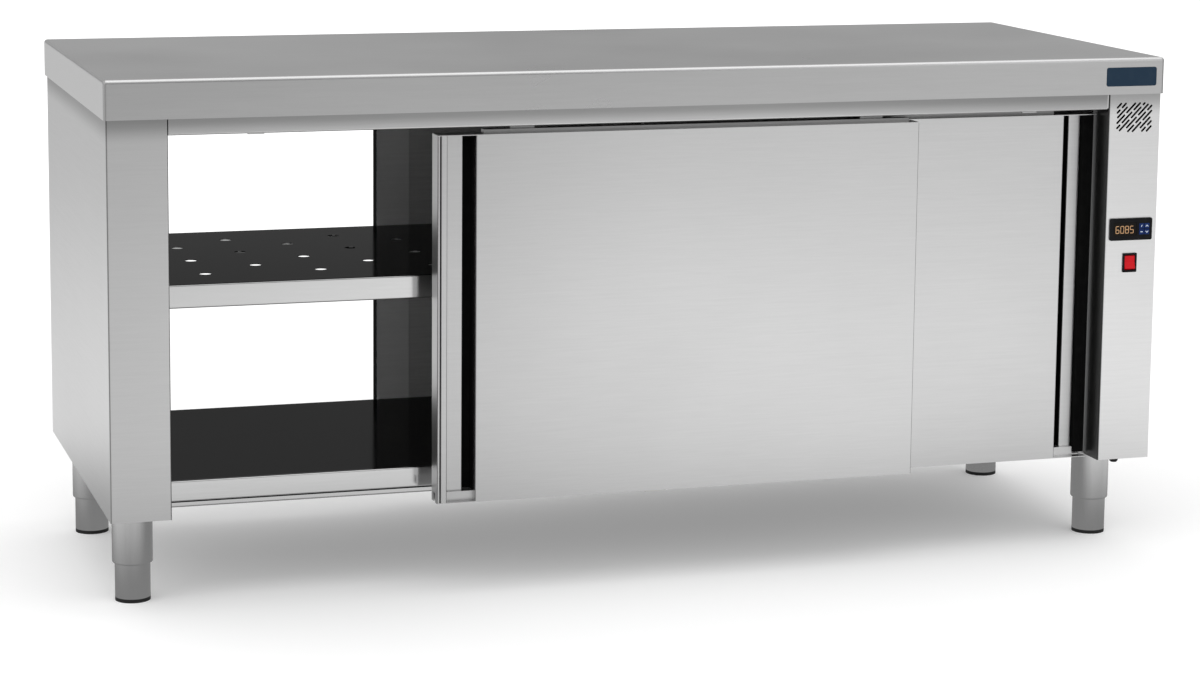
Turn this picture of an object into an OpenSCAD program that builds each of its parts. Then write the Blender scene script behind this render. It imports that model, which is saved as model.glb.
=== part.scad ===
// Pass-through hot cupboard with sliding doors. Millimetres, X to the right, Y to the rear, Z up.
// The origin is on the floor under the middle of the worktop. The doors stand as in use: the front
// outer door and the rear inner door are slid open, the other two are closed.

/* [Worktop and body] */
// Length of the worktop
top_len = 1800; // [1600:10:2000]
// Depth of the worktop from front edge to rear edge
top_dep = 700; // [660:5:800]
// Height of the worktop above the floor
total_h = 850; // [840:1:900]
// Height of the worktop's folded edge
top_h = 62; // [50:1:75]
// Thickness of the worktop sheet
top_t = 1.5; // [1:0.1:2]
// Radius of the worktop's bends and corners
top_r = 6; // [4:0.5:9]
// Width of the lip folded in under the worktop's edge
top_lip = 15; // [12:1:20]
// Overhang of the worktop past the ends of the body
over_x = 4; // [2:0.5:8]
// Overhang of the worktop past the front and rear of the body
over_y = 5; // [3:0.5:8]
// Height of the body's underside above the floor
body_z0 = 155; // [145:1:165]
// Width of the corner posts, and of the control compartment
post_w = 96; // [90:1:110]
// Thickness of the body's sheet
sheet = 1.2; // [1:0.1:1.5]
// Radius of the sheet's bends, to the middle of the sheet
bend_r = 2; // [1.5:0.1:2.6]
// Gap between two sheets that are fixed together
seam = 0.3; // [0.2:0.05:0.5]

/* [Doors] */
// Thickness of a door
door_t = 37; // [36:0.5:38]
// Gap between the outer and the inner door
door_gap = 4; // [3:0.5:6]
// Gap between the inner door and the body behind it
door_back_gap = 3; // [2:0.5:6]
// How far the outer door stands in front of the posts
door_proud = 3; // [1:0.5:5]
// How far the doors hang below the body's underside
door_drop = 1.5; // [0:0.5:3]
// Gap between the top of a door and the lower edge of the fascia
door_head_gap = 11.5; // [10:0.5:14]
// Half of the doors' overlap in the middle when they are closed
half_lap = 24.5; // [22:0.5:30]
// Gap at the closing edge of a closed door
end_gap = 0.5; // [0.3:0.1:1]
// Distance that the front outer door is drawn open
outer_open = 427; // [300:1:600]
// Distance that the rear inner door is drawn open
inner_open = 470; // [300:1:600]
// Width of the flange at the closing edge of an outer door
flange_w = 16; // [14:0.5:18]
// Width of the hem at the very edge of an outer door
hem_edge = 3.5; // [3:0.5:4.5]
// Gap between that hem and the flange
hem_gap = 2; // [1.5:0.5:3]
// Width of the sunk strip of an outer door's pull
strip_w = 30; // [26:1:34]
// Width of the sunk strip of an inner door's pull
inner_strip_w = 23; // [20:1:26]
// Depth of the sunk strip
strip_d = 19; // [16:0.5:22]
// Width of the deep finger groove
groove_w = 17; // [15:0.5:20]
// Width of the rubber buffer at the closing edge of an inner door
buffer_w = 20; // [18:0.5:22]
// Depth of that buffer, front to rear
buffer_d = 24; // [18:1:24]
// Width of the guide groove in the underside of a door
guide_w = 10; // [9:0.5:12]
// Depth of the guide groove
guide_d = 15; // [13:0.5:18]

/* [Door gear] */
// Height of the fascia and of the double track behind it
track_h = 26; // [26:0.5:28]
// Outer width of one channel of the double track
track_w = 28; // [26:0.5:29]
// Wall of the track
track_t = 1.5; // [1.2:0.1:1.8]
// Radius of a roller
roller_r = 10; // [8:0.5:10]
// Width of a roller
roller_w = 7; // [6:0.5:8]
// Radius of a roller's axle
axle_r = 3; // [2.5:0.1:3.5]
// Running clearance between a bore and its pin
run_fit = 0.05; // [0.03:0.01:0.08]
// Height of the hanger rail on top of a door
rail_h = 6.5; // [5:0.5:8]
// Width of the hanger rail
rail_w = 16; // [14:0.5:18]
// Distance from a door's end to the middle of the nearer hanger
hanger_in = 80; // [70:5:140]
// Width of a hanger plate
hanger_w = 40; // [30:1:50]
// Thickness of a hanger plate
hanger_t = 2; // [1.5:0.1:2]
// Length of a bottom guide along the door
guide_len = 36; // [30:1:40]
// Side clearance of the guide fin in its groove
guide_fit = 1.5; // [1:0.1:2]
// Distance that a bottom guide reaches under the chamber
guide_in = 42; // [38:1:60]

/* [Chamber] */
// Height of the chamber's floor
floor_z = 198; // [190:1:210]
// Height of the floor's front band
floor_band = 34; // [28:0.5:34]
// Height of the base pan's lip under that band
base_lip = 8; // [6:0.5:8]
// Height of the middle shelf
shelf_z = 514; // [450:1:560]
// Height of the middle shelf's band
shelf_band = 38; // [30:1:45]
// How far the middle shelf stands back from the body's front
shelf_back = 3; // [2:0.5:10]
// Diameter of the holes in the middle shelf
hole_d = 20; // [16:1:24]
// Distance between the holes along the shelf
hole_pitch_x = 190; // [160:5:220]
// Distance between the rows of holes
hole_pitch_y = 67; // [60:1:72]
// Number of rows of holes
hole_rows = 6; // [4:1:6]
// Side of the angle that carries the shelf
angle_w = 20; // [16:1:24]
// Height of the ceiling pan above the top of the doors
ceiling_up = 16; // [14:0.5:20]
// Width of the ceiling pan's upper flanges
ceiling_lip = 15; // [12:1:20]
// Depth of the control box's side in front of the inner door's jamb
jamb_d = 51; // [48:0.5:54]
// Size of the bead on the jamb, across the opening
bead_w = 3.5; // [3:0.5:4]
// Width of the flanges of the liners
liner_lip = 20; // [15:1:30]

/* [Legs] */
// Distance of a leg's axis from the end of the worktop
leg_in_x = 55; // [52:1:60]
// Distance of a leg's axis from the worktop's front edge
leg_in_y = 122; // [110:1:140]
// Radius of the fixed upper tube
socket_r = 32.5; // [30:0.5:34]
// Wall of the upper tube
socket_t = 3.3; // [3:0.1:4]
// Height of the upper tube's lower end above the floor
socket_z = 62; // [55:1:70]
// Radius of the round at the upper tube's lower end
socket_round = 2.6; // [1.5:0.1:2.8]
// Radius of the adjustable lower tube
foot_r = 28.4; // [27:0.1:28.6]
// Wall of the lower tube
foot_t = 1.5; // [1.2:0.1:2]
// Height of the plastic end of the foot
pad_h = 6; // [5:0.5:9]
// Height of the guide ring at the upper end of the foot, inside the socket
ring_h = 12; // [8:1:16]
// Overlap of the foot in the socket
foot_in = 70; // [60:1:75]
// Side of the square plate on top of a leg
leg_plate = 84; // [80:1:84]
// Thickness of that plate
plate_t = 3; // [2.5:0.5:4]
// Distance between the screws of that plate
plate_pitch = 70; // [68:1:70]
// Radius of the screw holes in that plate
plate_hole_r = 2.6; // [2.2:0.1:3]

/* [Controls] */
// Height of the controller's middle
ctrl_z = 556; // [500:1:600]
// Width of the controller's bezel
ctrl_w = 79; // [74:1:84]
// Height of the controller's bezel
ctrl_h = 38; // [34:1:42]
// How far the bezel stands out of the panel
ctrl_out = 3; // [2:0.5:4]
// Radius of the bezel's corners
ctrl_r = 3; // [2:0.5:5]
// Depth of the controller's case behind the panel
ctrl_deep = 40; // [30:1:45]
// Width of the display window
disp_w = 44; // [38:1:46]
// Height of the display window and of the key pad
disp_h = 24; // [20:1:26]
// Side of a key
key_w = 9; // [8:0.5:9.5]
// Gap between the keys
key_gap = 1; // [0.8:0.1:1.6]
// Thickness of a key
key_t = 3; // [2.5:0.1:3.5]
// Travel of a key
key_travel = 1; // [0.8:0.1:1.2]
// Height of the switch's middle
switch_z = 498; // [440:1:520]
// Width of the switch's bezel
switch_w = 26; // [24:0.5:28]
// Height of the switch's bezel
switch_h = 33; // [31:0.5:36]
// Width of the rocker
rocker_w = 19; // [17:0.5:20]
// Half height of the rocker
rocker_r = 13; // [12:0.5:13.5]
// Tilt of the rocker to either side
rocker_tilt = 7; // [5:0.5:9]
// Top of the ventilation slots below the body's top
vent_down = 14; // [10:1:30]
// Width of the field of ventilation slots
vent_w = 68; // [60:1:72]
// Height of the field of ventilation slots
vent_h = 52; // [45:1:60]
// Width of a ventilation slot
slot_w = 3.5; // [2.5:0.1:4]
// Distance between the slots along the panel
slot_pitch = 8.8; // [8:0.1:11]
// Distance between the bridges of one slot line, across the panel
bridge_pitch = 21.6; // [18:0.1:26]
// Shift of the bridges of every second slot line, across the panel
bridge_shift = 9; // [6:0.1:12]
// Width of a bridge, across the panel
bridge_w = 2.4; // [2:0.1:5]
// Radius of the cable gland
gland_r = 8; // [6:0.5:10]
// Radius of the cable hole in the gland
gland_bore = 4; // [3:0.5:5]
// Distance of the gland from the control box's left side
gland_x = 41; // [30:1:60]
// Distance of the gland behind the panel's face
gland_y = 20; // [18:1:40]
// Width of the plain badge plate
badge_w = 93; // [80:1:100]
// Height of the badge plate
badge_h = 32; // [24:1:34]
// Thickness of the badge plate, and depth of the pressed place that holds it
badge_t = 0.6; // [0.4:0.1:0.8]
// Distance from the worktop's right end to the badge's middle
badge_in = 62; // [56:1:100]

/* [Heater and fan] */
// Height of the fan's axis
fan_z = 500; // [400:5:600]
// Radius of the fan wheel
fan_r = 70; // [55:1:75]
// Width of the fan wheel
fan_w = 26; // [20:1:30]
// Number of blades
fan_blades = 8; // [6:1:12]
// Radius of the motor
motor_r = 36; // [30:1:40]
// Length of the motor
motor_len = 38; // [30:1:40]
// Distance of the motor's plate from the chamber's end wall
motor_out = 42; // [40:1:44]
// Gap between the fan wheel and the motor's plate
wheel_gap = 10; // [8:0.5:11]
// Depth of the shaft in the fan wheel
shaft_in = 16; // [12:1:18]
// Radius of the motor's shaft
shaft_r = 4; // [3:0.5:5]
// Mean radius of the heating element's ring
heater_r = 104; // [100:1:115]
// Radius of the heating element's tube
heater_tube = 4; // [3:0.5:5]
// Width of an air slot in the liner
air_slot = 8; // [6:0.5:10]
// Length of an air slot in the liner
air_len = 60; // [50:1:80]
// Radius of the temperature probe
probe_r = 3; // [2:0.5:4]
// Height of the temperature probe
probe_z = 640; // [600:5:700]
// Length of the probe inside the chamber
probe_in = 30; // [20:1:60]
// Length of the probe behind the chamber's end wall
probe_out = 16; // [12:1:30]
// Distance of the terminal block from the chamber's front
block_in = 40; // [30:1:60]
// Length of the terminal block
block_l = 70; // [60:1:80]
// Width of the terminal block
block_w = 24; // [20:1:30]
// Height of the terminal block
block_h = 22; // [18:1:30]
// Distance between the terminals
block_pitch = 12; // [10:0.5:13]

/* [Hidden] */
$fn = 48;

half_t = sheet / 2;
body_x = top_len / 2 - over_x;
body_y = top_dep / 2 - over_y;
body_z1 = total_h - top_h;
open_x = body_x - post_w;
outer_y = body_y + door_proud;
inner_y = outer_y - door_t - door_gap;
car_y = inner_y - door_t - door_back_gap;
jamb_y = body_y - jamb_d;
door_z0 = body_z0 - door_drop;
door_z1 = body_z1 - track_h - door_head_gap;
door_w = open_x - end_gap + half_lap;
mid_t = door_t / 2;
outer_pull = flange_w + strip_w + groove_w;
inner_pull = buffer_w + inner_strip_w + groove_w;
back_y = door_t - sheet;
track_z = body_z1 - track_h;
rail_z = track_z + sheet + seam;
lip_top = rail_z + track_t;
roller_z = lip_top + roller_r + seam;
roller_y = 1;
cap_gap = 0.4;
floor_edge = open_x - seam;
shelf_y = car_y - shelf_back;
shelf_bot = shelf_z - shelf_band;
shelf_x = open_x - seam - 1.5 - 1;
base_lip_top = body_z0 + base_lip;
ceiling_z = door_z1 + ceiling_up;
leg_x = top_len / 2 - leg_in_x;
leg_y = top_dep / 2 - leg_in_y;
panel_x = open_x + post_w / 2;
vent_top = body_z1 - vent_down;
ctrl_case_w = ctrl_w - 9;
ctrl_case_h = ctrl_h - 9;
pad_x = panel_x + ctrl_w / 2 - 5.5 - key_w - key_gap / 2;
disp_x = panel_x - ctrl_w / 2 + 6;
wall_x = open_x + sheet;
plate_x = wall_x + motor_out;
stop_fit = 0.3;
panel_lip = 20;

module box(x0, x1, y0, y1, z0, z1) {
    translate([x0, y0, z0]) cube([x1 - x0, y1 - y0, z1 - z0]);
}

function unit(v) = v / norm(v);

// A sheet seen on edge: straight runs along the path p with a round bend of middle radius r at each
// corner. All runs lie along X or Y.
module sheet_path(p, t, r) {
    n = len(p);
    for (i = [0 : n - 2]) {
        d = unit(p[i + 1] - p[i]);
        a = p[i] + (i > 0 ? r : 0) * d;
        b = p[i + 1] - (i < n - 2 ? r : 0) * d;
        lo = [min(a[0], b[0]), min(a[1], b[1])];
        hi = [max(a[0], b[0]), max(a[1], b[1])];
        side = [abs(d[1]), abs(d[0])] * t / 2;
        translate(lo - side) square(hi - lo + 2 * side);
    }
    if (n > 2) for (i = [1 : n - 2]) {
        u = unit(p[i - 1] - p[i]);
        v = unit(p[i + 1] - p[i]);
        q = -(u + v);
        ro = r + t / 2;
        translate(p[i] + r * (u + v)) intersection() {
            difference() {
                circle(ro);
                circle(r - t / 2);
            }
            translate([min(0, q[0]) * ro, min(0, q[1]) * ro]) square(ro);
        }
    }
}

module upright(z0, z1) {
    translate([0, 0, z0]) linear_extrude(z1 - z0) children();
}

module lengthways(x0, x1) {
    translate([x0, 0, 0]) rotate([90, 0, 90]) linear_extrude(x1 - x0) children();
}

module both_ways() {
    children();
    rotate([0, 0, 180]) children();
}

module at_legs() {
    for (sx = [-1, 1], sy = [-1, 1]) translate([sx * leg_x, sy * leg_y, 0]) children();
}

// A block with round upright corners and a round upper edge.
module crowned_block(l, d, h, r) {
    translate([-(l - 2 * r) / 2, -d / 2, 0]) cube([l - 2 * r, d, h - r]);
    translate([-l / 2, -(d - 2 * r) / 2, 0]) cube([l, d - 2 * r, h - r]);
    translate([-(l - 2 * r) / 2, -(d - 2 * r) / 2, 0]) cube([l - 2 * r, d - 2 * r, h]);
    for (sx = [-1, 1], sy = [-1, 1]) translate([sx * (l / 2 - r), sy * (d / 2 - r), 0]) {
        cylinder(r = r, h = h - r);
        translate([0, 0, h - r]) sphere(r);
    }
    for (sy = [-1, 1]) translate([-(l - 2 * r) / 2, sy * (d / 2 - r), h - r])
        rotate([0, 90, 0]) cylinder(r = r, h = l - 2 * r);
    for (sx = [-1, 1]) translate([sx * (l / 2 - r), -(d - 2 * r) / 2, h - r])
        rotate([-90, 0, 0]) cylinder(r = r, h = d - 2 * r);
}

module worktop() {
    color("silver") difference() {
        translate([0, 0, body_z1]) crowned_block(top_len, top_dep, top_h, top_r);
        translate([0, 0, body_z1 + top_t])
            crowned_block(top_len - 2 * top_t, top_dep - 2 * top_t, top_h - 2 * top_t, top_r - top_t);
        box(-top_len / 2 + top_lip, top_len / 2 - top_lip, -top_dep / 2 + top_lip, top_dep / 2 - top_lip,
            body_z1 - 1, body_z1 + 2 * top_t);
        badge_shape(seam, -1);
    }
}

channel_w = 40;
channel_count = 4;
channel_y = car_y - 5;

module worktop_channels() {
    zt = total_h - top_t;
    color("gainsboro") for (i = [0 : channel_count - 1]) {
        x = (i - (channel_count - 1) / 2) * open_x / 2;
        difference() {
            box(x - channel_w / 2, x + channel_w / 2, -channel_y, channel_y, body_z1, zt);
            box(x - channel_w / 2 + top_t, x + channel_w / 2 - top_t, -channel_y - 1, channel_y + 1,
                body_z1 - 1, zt - top_t);
        }
    }
}

module left_side_panel() {
    color("silver") upright(body_z0, body_z1) sheet_path([
        [-open_x - half_t, -car_y - 1 - seam], [-open_x - half_t, -body_y + half_t],
        [-body_x + half_t, -body_y + half_t], [-body_x + half_t, body_y - half_t],
        [-open_x - half_t, body_y - half_t], [-open_x - half_t, jamb_y + seam]], sheet, bend_r);
}

module right_side_panel() {
    color("silver") upright(body_z0, body_z1) sheet_path([
        [body_x - half_t, -body_y + sheet + seam], [body_x - half_t, body_y - half_t],
        [open_x + half_t, body_y - half_t], [open_x + half_t, car_y + 1 + seam]], sheet, bend_r);
}

// The chamber's end wall. Its rear edge carries the bead that the rear inner door closes against.
module liner_wall() {
    z0 = body_z0 + sheet + seam;
    z1 = body_z1 - seam;
    upright(z0, z1) sheet_path([[-open_x - liner_lip, -car_y - 1 + half_t],
        [-open_x - half_t, -car_y - 1 + half_t], [-open_x - half_t, jamb_y]], sheet, bend_r);
    box(-open_x - half_t, -open_x + bead_w, jamb_y - 4, jamb_y, z0, track_z - 2);
}

module left_liner() {
    color("gainsboro") liner_wall();
}

module air_slots() {
    rows = 5;
    for (i = [0 : rows - 1], s = [-1, 1]) {
        translate([open_x - 5, s * (air_len / 2 + 12) - air_len / 2, fan_z + (i - (rows - 1) / 2) * 2 * air_slot])
            cube([10, air_len, air_slot]);
    }
    for (i = [0 : 2], j = [-1, 0, 1])
        translate([open_x - 5, j * (air_len + 40) - air_len / 2, floor_z + 40 + i * 2 * air_slot])
            cube([10, air_len, air_slot]);
}

module right_liner() {
    color("gainsboro") difference() {
        rotate([0, 0, 180]) liner_wall();
        air_slots();
        translate([open_x - 5, car_y * 0.6, probe_z]) rotate([0, 90, 0]) cylinder(r = probe_r + seam, h = 10);
    }
}

// One run of a ventilation slot, from across to across2 on the diagonal that meets the field's left edge
// at height rise. Its ends are round.
module vent_run(across, across2, rise) {
    l = (across2 - across) * sqrt(2) - slot_w;
    if (l > 0) translate([across, rise + across]) rotate(45) translate([slot_w / 2, 0]) {
        translate([0, -slot_w / 2]) square([l, slot_w]);
        circle(slot_w / 2);
        translate([l, 0]) circle(slot_w / 2);
    }
}

module vent_slots() {
    lines = ceil((vent_w + vent_h) / slot_pitch);
    edge = slot_w * 0.3;
    for (k = [0 : lines - 1]) {
        rise = vent_h - (k + 1.25) * slot_pitch;
        lo = max(edge, edge - rise);
        hi = min(vent_w - edge, vent_h - edge - rise);
        first = (k + 1) * slot_pitch / 2 + (k % 2 == 0 ? bridge_shift : 0);
        for (m = [-4 : 3]) {
            b0 = first + m * bridge_pitch + bridge_w / 2;
            b1 = b0 + bridge_pitch - bridge_w;
            s0 = max(lo, b0);
            s1 = min(hi, b1);
            if (s1 - s0 > slot_w * 1.2) vent_run(s0, s1, rise);
        }
    }
}

module control_panel() {
    color("gainsboro") difference() {
        union() {
            upright(body_z0, body_z1) sheet_path([
                [open_x + half_t, -jamb_y - seam], [open_x + half_t, -body_y + half_t],
                [body_x - sheet - seam - half_t, -body_y + half_t],
                [body_x - sheet - seam - half_t, -body_y + panel_lip]], sheet, bend_r);
            box(body_x - 2 * sheet - bend_r, body_x, -body_y, -body_y + sheet, body_z0, body_z1);
        }
        translate([panel_x - vent_w / 2, -body_y + 5, vent_top - vent_h])
            rotate([90, 0, 0]) linear_extrude(10) vent_slots();
        box(panel_x - ctrl_case_w / 2 - 0.5, panel_x + ctrl_case_w / 2 + 0.5, -body_y - 5, -body_y + 5,
            ctrl_z - ctrl_case_h / 2 - 0.5, ctrl_z + ctrl_case_h / 2 + 0.5);
        box(panel_x - switch_w / 2 + 1.5, panel_x + switch_w / 2 - 1.5, -body_y - 5, -body_y + 5,
            switch_z - switch_h / 2 + 1.5, switch_z + switch_h / 2 - 1.5);
    }
}

module floor_pan() {
    zb = floor_z - floor_band + half_t;
    color("silver") lengthways(-floor_edge, floor_edge) sheet_path([
        [-car_y + 12, zb], [-car_y + half_t, zb], [-car_y + half_t, floor_z - half_t],
        [car_y - half_t, floor_z - half_t], [car_y - half_t, zb], [car_y - 12, zb]], sheet, bend_r);
}

// The base's plate under one end of the body, with its corners cut back to clear the bends round it.
module end_plate(s) {
    x = s * (open_x + body_x) / 2;
    w = body_x - open_x - 2 * sheet - 2 * seam;
    d = 2 * (body_y - sheet - seam);
    for (c = [[0, bend_r], [bend_r, 0]])
        translate([x - w / 2 + c[0], -d / 2 + c[1], body_z0]) cube([w - 2 * c[0], d - 2 * c[1], sheet]);
}

module base_pan() {
    lip_x = body_x - 2 * sheet - 2 * seam;
    color("silver") difference() {
        union() {
            lengthways(-floor_edge, floor_edge) sheet_path([
                [-car_y + half_t, base_lip_top], [-car_y + half_t, body_z0 + half_t],
                [car_y - half_t, body_z0 + half_t], [car_y - half_t, base_lip_top]], sheet, bend_r);
            box(-body_x + sheet + seam, body_x - sheet - seam, -car_y + 3, car_y - 3, body_z0, body_z0 + sheet);
            for (s = [-1, 1]) end_plate(s);
        }
        box(lip_x, body_x, -body_y, -body_y + panel_lip + seam, body_z0 - 1, body_z0 + 5);
        box(lip_x - bend_r, body_x, -body_y, -body_y + sheet + seam + bend_r, body_z0 - 1, body_z0 + 5);
        at_legs() at_plate_screws() translate([0, 0, body_z0 - 1]) cylinder(r = plate_hole_r, h = 5);
        at_guide_screws() translate([0, 0, body_z0 - 1]) cylinder(r = guide_hole_r, h = 5);
        translate([open_x + gland_x, -body_y + gland_y, body_z0 - 1]) cylinder(r = gland_r - 2 + seam, h = 5);
    }
}

module ceiling_pan() {
    zt = body_z1 - half_t;
    color("silver") lengthways(-floor_edge, floor_edge) sheet_path([
        [-car_y + ceiling_lip, zt], [-car_y + half_t, zt], [-car_y + half_t, ceiling_z],
        [car_y - half_t, ceiling_z], [car_y - half_t, zt], [car_y - ceiling_lip, zt]], sheet, bend_r);
}

module shelf_holes() {
    nx = floor((2 * shelf_x - 60) / hole_pitch_x);
    for (r = [0 : hole_rows - 1]) {
        y = (r - (hole_rows - 1) / 2) * hole_pitch_y;
        side = r % 2 == 0 ? -1 : 1;
        for (c = [0 : nx - 1]) {
            x = (c - (nx - 1) / 2) * hole_pitch_x + side * hole_pitch_x / 4;
            translate([x, y, shelf_z - 5]) cylinder(d = hole_d, h = 10);
        }
    }
}

module middle_shelf() {
    zb = shelf_bot + half_t;
    color("silver") difference() {
        union() {
            lengthways(-shelf_x, shelf_x) sheet_path([
                [-shelf_y + 12, zb], [-shelf_y + half_t, zb], [-shelf_y + half_t, shelf_z - half_t],
                [shelf_y - half_t, shelf_z - half_t], [shelf_y - half_t, zb], [shelf_y - 12, zb]],
                sheet, bend_r);
            for (s = [-1, 1]) translate([s * (shelf_x - half_t) - half_t, -shelf_y + 4, shelf_bot])
                cube([sheet, 2 * shelf_y - 8, shelf_band - half_t]);
        }
        shelf_holes();
    }
}

module shelf_supports() {
    y = shelf_y - 14;
    color("gainsboro") for (s = [-1, 1]) {
        x0 = s > 0 ? floor_edge - angle_w : -floor_edge;
        xw = s > 0 ? floor_edge - 1.5 : -floor_edge;
        box(x0, x0 + angle_w, -y, y, shelf_bot - 1.5, shelf_bot);
        box(xw, xw + 1.5, -y, y, shelf_bot - angle_w, shelf_bot);
    }
}

fascia_gap = 3;
clip_w = 26;
clip_x = [-0.414, 0.408];

module one_fascia() {
    lengthways(-open_x + seam, open_x - fascia_gap) sheet_path([
        [-body_y + 7, track_z + half_t], [-body_y + half_t, track_z + half_t],
        [-body_y + half_t, body_z1 - seam]], sheet, bend_r);
    for (c = clip_x) box(2 * c * open_x - clip_w / 2, 2 * c * open_x + clip_w / 2,
        -body_y + 1, -body_y + 6, track_z - 1.5, track_z + half_t);
}

module fascias() {
    color("silver") both_ways() one_fascia();
}

module channel_2d(c) {
    hw = track_w / 2 - track_t / 2;
    zl = rail_z + track_t / 2;
    zt = body_z1 - track_t / 2;
    sheet_path([[c - hw + 6, zl], [c - hw, zl], [c - hw, zt], [c + hw, zt], [c + hw, zl], [c + 0.5, zl]],
        track_t, track_t * 0.7);
}

module one_track() {
    c1 = -outer_y + mid_t;
    c2 = -inner_y + mid_t;
    lengthways(-open_x + seam, open_x - seam) {
        channel_2d(c1);
        channel_2d(c2);
        translate([c1 + track_w / 2 - 3, body_z1 - track_t])
            square([c2 - c1 - track_w + 6, track_t]);
        translate([c2 + track_w / 2 - 3, body_z1 - track_t])
            square([-car_y - seam - c2 - track_w / 2 + 3, track_t]);
    }
}

module door_tracks() {
    color("lightgray") both_ways() one_track();
}

guide_hole_r = 2.2;

module at_guide_screws() {
    both_ways() for (s = [-1, 1]) translate([s * guide_len * 0.28, -car_y + guide_in / 2 + 3, 0]) children();
}

module one_guide() {
    top = door_z0 - 1;
    half = guide_len / 2;
    fin = guide_w - 2 * guide_fit;
    difference() {
        union() {
            box(-half, half, -car_y + 3, -car_y + guide_in, top - 2.5, body_z0);
            box(-half, half, -outer_y + mid_t - guide_w, -car_y + 4, top - 2.5, top);
        }
        at_guide_screws() translate([0, 0, top - 3]) cylinder(r = guide_hole_r, h = 20);
    }
    for (y = [-outer_y + mid_t, -inner_y + mid_t])
        box(-half + 6, half - 6, y - fin / 2, y + fin / 2, top - 1, top + guide_d - 4);
}

module bottom_guides() {
    color("white") both_ways() one_guide();
}

// Doors are drawn with x from the closing edge, y from the door's face to the rear, z at real height.
// The guide groove's walls start at from.
module door_caps(from) {
    g = guide_w / 2;
    y0 = mid_t - g - sheet;
    y1 = mid_t + g + sheet;
    box(0, door_w, 0, back_y, door_z1 - sheet, door_z1);
    box(0, door_w, 0, y0 + sheet, door_z0, door_z0 + sheet);
    box(0, door_w, y1 - sheet, back_y, door_z0, door_z0 + sheet);
    box(from, door_w, y0, y0 + sheet, door_z0, door_z0 + guide_d + sheet);
    box(from, door_w, y1 - sheet, y1, door_z0, door_z0 + guide_d + sheet);
    box(from, door_w, y0, y1, door_z0 + guide_d, door_z0 + guide_d + sheet);
}

// The groove's back wall is on the rear sheet's plane, and the guide groove is cut clear of the pull.
module outer_door_shell() {
    s1 = flange_w + strip_w;
    color("silver") difference() {
        union() {
            upright(door_z0, door_z1) {
                sheet_path([[outer_pull - 1, door_t - half_t], [half_t, door_t - half_t],
                    [half_t, half_t], [hem_edge, half_t]], sheet, 1.2);
                sheet_path([[hem_edge + hem_gap + half_t, 9], [hem_edge + hem_gap + half_t, half_t],
                    [flange_w - half_t, half_t], [flange_w - half_t, strip_d + half_t],
                    [s1 - half_t, strip_d + half_t], [s1 - half_t, back_y - half_t],
                    [outer_pull + half_t, back_y - half_t], [outer_pull + half_t, half_t],
                    [door_w - half_t, half_t], [door_w - half_t, back_y]], sheet, 1.2);
            }
            door_caps(0);
        }
        guide_slot();
    }
}

module inner_door_shell() {
    s1 = buffer_w + inner_strip_w;
    color("silver") difference() {
        union() {
            upright(door_z0, door_z1) sheet_path([
                [inner_pull - 1, door_t - half_t], [buffer_w + half_t, door_t - half_t],
                [buffer_w + half_t, strip_d + half_t], [s1 - half_t, strip_d + half_t],
                [s1 - half_t, back_y - half_t], [inner_pull + half_t, back_y - half_t],
                [inner_pull + half_t, half_t], [door_w - half_t, half_t],
                [door_w - half_t, back_y]], sheet, 1.2);
            door_caps(buffer_w);
            box(0, 8, strip_d - 8, strip_d - 2, door_z0, door_z0 + 6.5);
        }
        guide_slot();
    }
}

module guide_slot() {
    box(-1, door_w + 1, mid_t - guide_w / 2, mid_t + guide_w / 2, door_z0 - 1, door_z0 + guide_d);
}

module door_back(pull) {
    color("gray") box(pull, door_w, back_y, door_t, door_z0, door_z1);
}

module door_buffer() {
    color("black") difference() {
        box(0, buffer_w, strip_d - 9, strip_d - 9 + buffer_d, door_z0 + 7, door_z1 - sheet - seam);
        for (y = [strip_d - 5, strip_d + 7])
            box(-1, 2, y, y + 2, door_z0, door_z1);
        guide_slot();
    }
}

function hanger_at(pull, i) = i == 0 ? pull + hanger_in : door_w - hanger_in;

module door_hanger(pull) {
    color("lightgray") {
        box(pull + 15, door_w - 15, mid_t - rail_w / 2, mid_t + rail_w / 2, door_z1, door_z1 + rail_h);
        for (i = [0, 1]) {
            x = hanger_at(pull, i);
            box(x - hanger_w / 2, x + hanger_w / 2, mid_t - 1 - hanger_t, mid_t - 1,
                door_z1, roller_z + axle_r + 3);
            translate([x, mid_t - 1.5, roller_z]) rotate([-90, 0, 0]) {
                cylinder(r = axle_r + 1.5, h = 1.5 + roller_y - seam);
                cylinder(r = axle_r, h = 1.5 + roller_y + roller_w + seam);
                translate([0, 0, 1.5 + roller_y + roller_w + seam]) cylinder(r = axle_r + 1, h = 1.5);
            }
        }
    }
}

module door_roller(pull, i) {
    x = hanger_at(pull, i);
    color("dimgray") translate([x, mid_t + roller_y, roller_z]) rotate([-90, 0, 0]) rotate_extrude()
        difference() {
            translate([axle_r + run_fit, 0]) square([roller_r - axle_r - run_fit, roller_w]);
            translate([axle_r + 2, -0.1]) square([roller_r - axle_r - 4, 0.9]);
            translate([axle_r + 2, roller_w - 0.8]) square([roller_r - axle_r - 4, 0.9]);
        }
}

module place_front_outer() {
    translate([-open_x + end_gap + outer_open, -outer_y, 0]) children();
}

module place_front_inner() {
    translate([open_x - bead_w - end_gap, -inner_y, 0]) mirror([1, 0, 0]) children();
}

module place_rear_outer() {
    rotate([0, 0, 180]) translate([-open_x + end_gap, -outer_y, 0]) children();
}

module place_rear_inner() {
    rotate([0, 0, 180]) translate([open_x - bead_w - end_gap - inner_open, -inner_y, 0])
        mirror([1, 0, 0]) children();
}

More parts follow.
